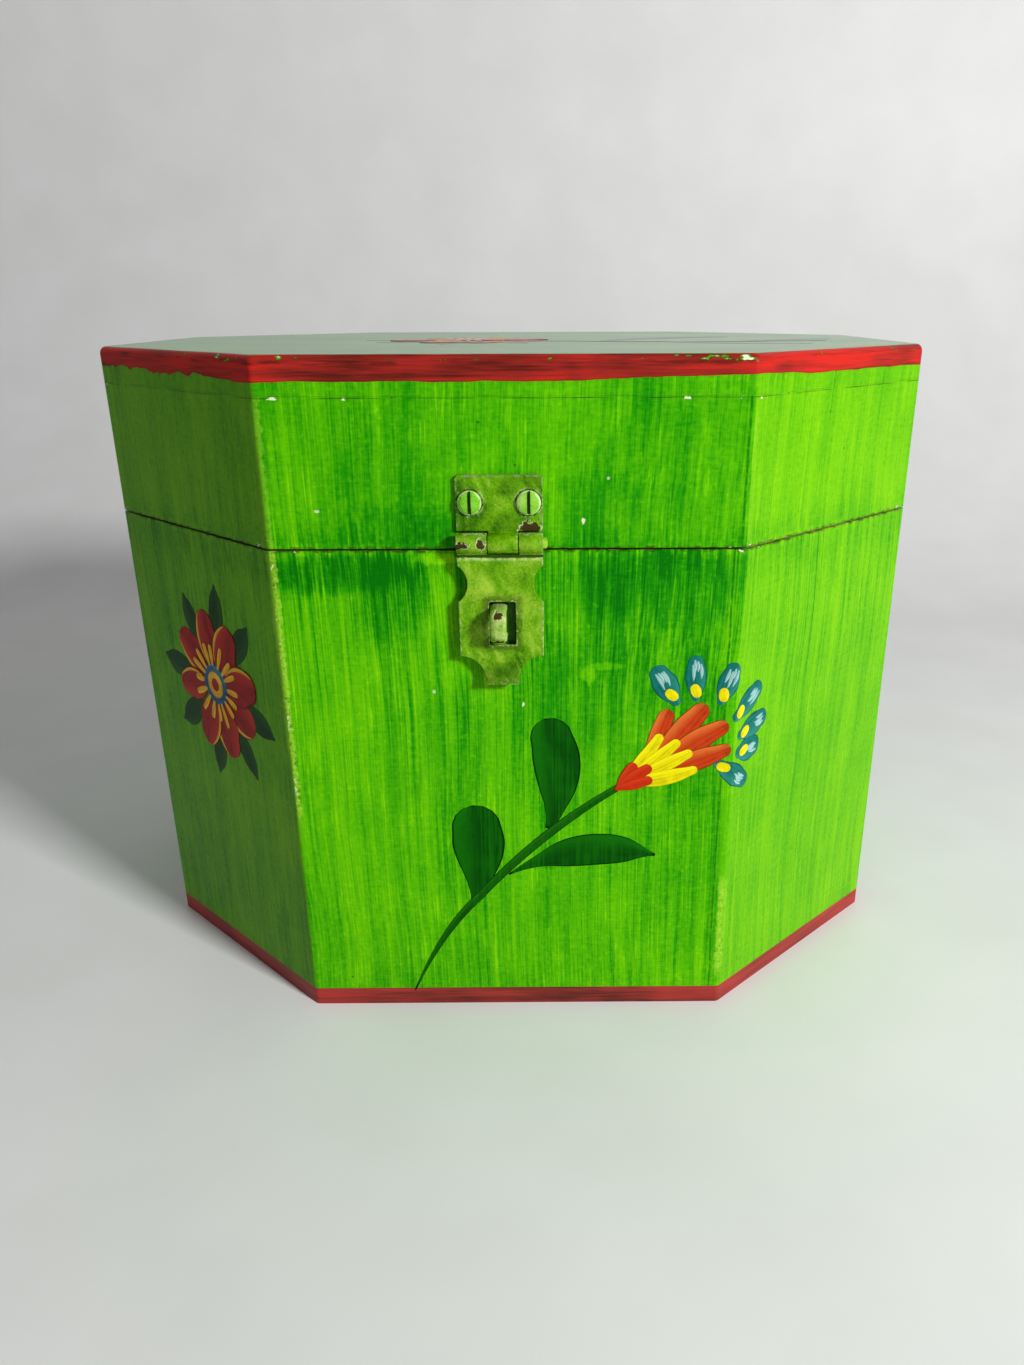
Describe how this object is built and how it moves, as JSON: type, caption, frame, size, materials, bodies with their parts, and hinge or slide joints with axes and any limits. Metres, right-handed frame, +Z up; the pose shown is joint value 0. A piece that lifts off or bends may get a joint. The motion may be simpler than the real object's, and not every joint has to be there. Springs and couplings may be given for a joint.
{
  "type": "keepsake box",
  "caption": "Eight-sided painted wooden keepsake box with a hinged lid, a small hasp with a slotted strap, and a staple on the front.",
  "frame": {"origin": "middle of the base board's underside, on the surface the box stands on", "axes": "+X to the right along the front, +Y from the front with the hasp to the back with the hinges, +Z up"},
  "size_m": [0.234, 0.214, 0.183],
  "materials": {
    "wall_paint": "brushed translucent lime-green paint, satin",
    "base_paint": "red brushed paint on the edge, satin",
    "lid_paint": "green top with a red painted edge, satin",
    "hasp_paint": "olive-green paint over brown steel, chipped",
    "hinge_paint": "olive-green paint over brown steel",
    "screw_paint": "green paint over slotted steel heads"
  },
  "bodies": {
    "body": {"base_board": "base_paint", "body_wall_front": "wall_paint", "body_wall_front_right": "wall_paint", "body_wall_right": "wall_paint", "body_wall_back_right": "wall_paint", "body_wall_back": "wall_paint", "body_wall_back_left": "wall_paint", "body_wall_left": "wall_paint", "body_wall_front_left": "wall_paint", "staple_plate": "hasp_paint", "staple_loop": "hasp_paint", "staple_screws": "screw_paint", "hinge_body_leaf_left": "hinge_paint", "hinge_body_leaf_right": "hinge_paint", "hinge_pin_left": "hinge_paint", "hinge_pin_right": "hinge_paint", "hinge_body_screws": "screw_paint"},
    "lid": {"lid_board": "lid_paint", "lid_wall_front": "wall_paint", "lid_wall_front_right": "wall_paint", "lid_wall_right": "wall_paint", "lid_wall_back_right": "wall_paint", "lid_wall_back": "wall_paint", "lid_wall_back_left": "wall_paint", "lid_wall_left": "wall_paint", "lid_wall_front_left": "wall_paint", "hasp_leaf": "hasp_paint", "hasp_pin": "hasp_paint", "hasp_leaf_screws": "screw_paint", "hinge_lid_leaf_left": "hinge_paint", "hinge_lid_leaf_right": "hinge_paint", "hinge_lid_screws": "screw_paint"},
    "strap": {"hasp_strap": "hasp_paint"}
  },
  "joints": [
    {"name": "lid_hinge", "type": "hinge", "parent": "body", "child": "lid", "pos_m": [0, 0.1026, 0.137], "axis": [-1, 0, 0], "range_deg": [0, 170]},
    {"name": "strap_hinge", "type": "hinge", "parent": "lid", "child": "strap", "pos_m": [-0.0019, -0.1026, 0.1391], "axis": [-1, 0, 0], "range_deg": [0, 170]}
  ]
}
